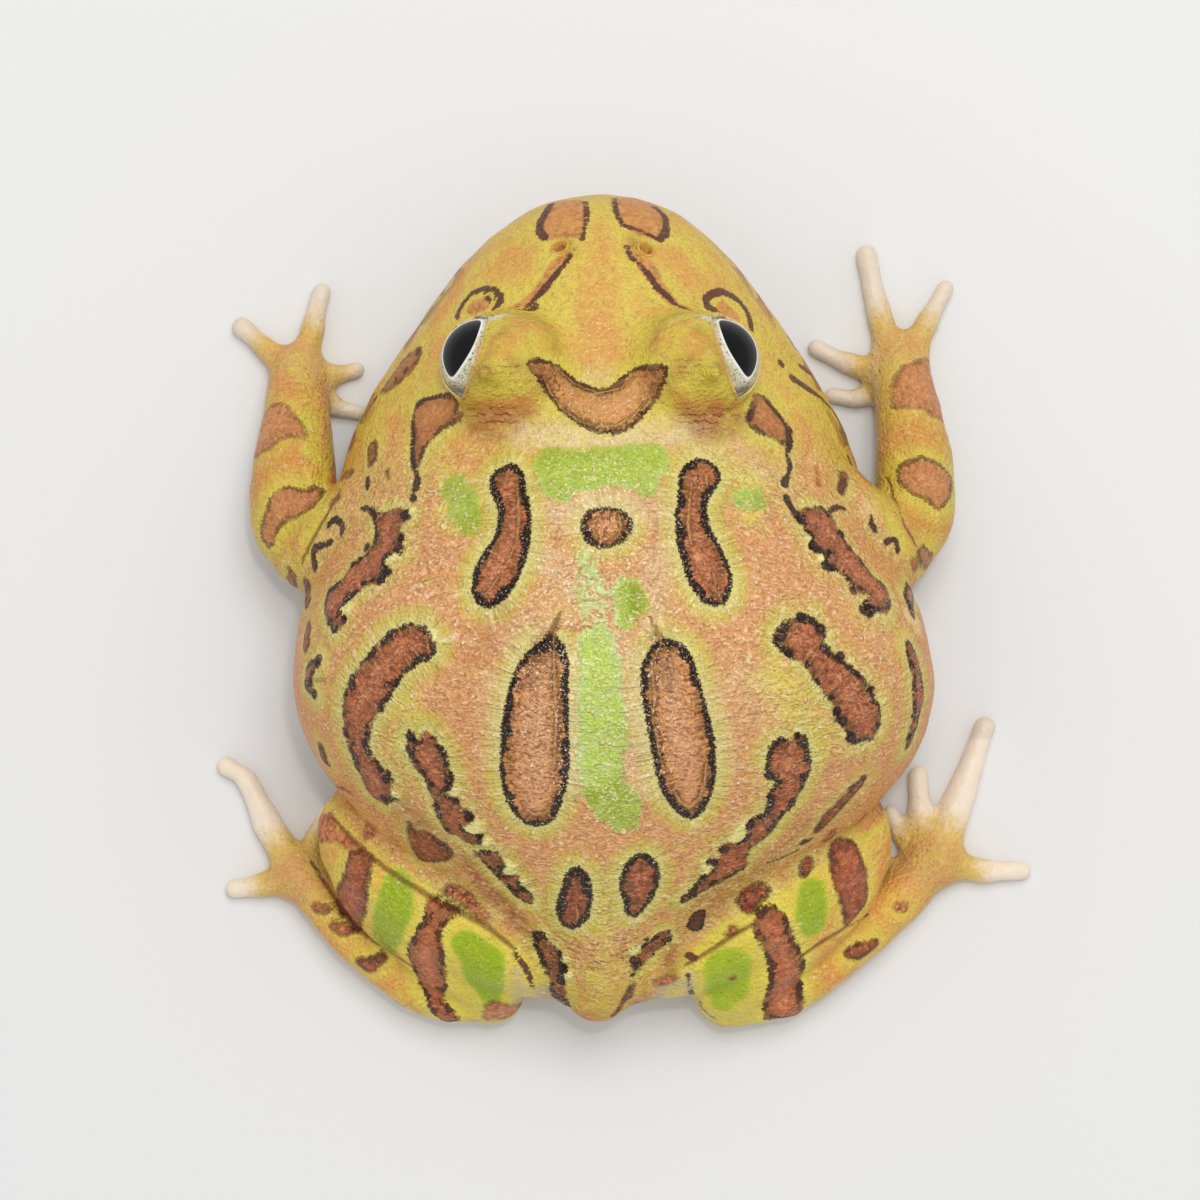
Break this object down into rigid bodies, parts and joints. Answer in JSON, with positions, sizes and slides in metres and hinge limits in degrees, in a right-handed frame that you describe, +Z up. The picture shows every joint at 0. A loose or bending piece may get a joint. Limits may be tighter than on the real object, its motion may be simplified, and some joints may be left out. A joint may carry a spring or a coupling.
{
  "type": "argentine horned frog",
  "caption": "Life-size still model of a wide-mouthed horned frog crouched flat on its belly, limbs folded, toes spread, patterned yellow and brown.",
  "frame": {"origin": "on the floor under the middle of the whole part", "axes": "+Z up from the floor, -Y towards the snout, +X towards the animal's left"},
  "size_m": [0.1178, 0.1194, 0.047],
  "materials": {
    "skin": "moist, finely grained skin, yellow and salmon with dark-edged brown patches and green",
    "pale_skin": "smooth, moist, pale pinkish skin",
    "eye": "wet, glossy, near-black pupil with a silvery rim"
  },
  "bodies": {
    "root": {"head": "skin", "lower_jaw": "pale_skin", "torso": "skin", "eye_left": "eye", "eye_right": "eye", "horned_lid_left": "skin", "horned_lid_right": "skin", "upper_arm_left": "skin", "upper_arm_right": "skin", "forearm_left": "skin", "forearm_right": "skin", "hand_left": "pale_skin", "hand_right": "pale_skin", "finger_1_left": "pale_skin", "finger_2_left": "pale_skin", "finger_3_left": "pale_skin", "finger_4_left": "pale_skin", "finger_1_right": "pale_skin", "finger_2_right": "pale_skin", "finger_3_right": "pale_skin", "finger_4_right": "pale_skin", "thigh_left": "skin", "thigh_right": "skin", "shank_left": "skin", "shank_right": "skin", "tarsus_left": "skin", "tarsus_right": "skin", "foot_left": "pale_skin", "foot_right": "pale_skin", "toe_1_left": "pale_skin", "toe_2_left": "pale_skin", "toe_3_left": "pale_skin", "toe_4_left": "pale_skin", "toe_5_left": "pale_skin", "toe_1_right": "pale_skin", "toe_2_right": "pale_skin", "toe_3_right": "pale_skin", "toe_4_right": "pale_skin", "toe_5_right": "pale_skin"}
  },
  "joints": []
}
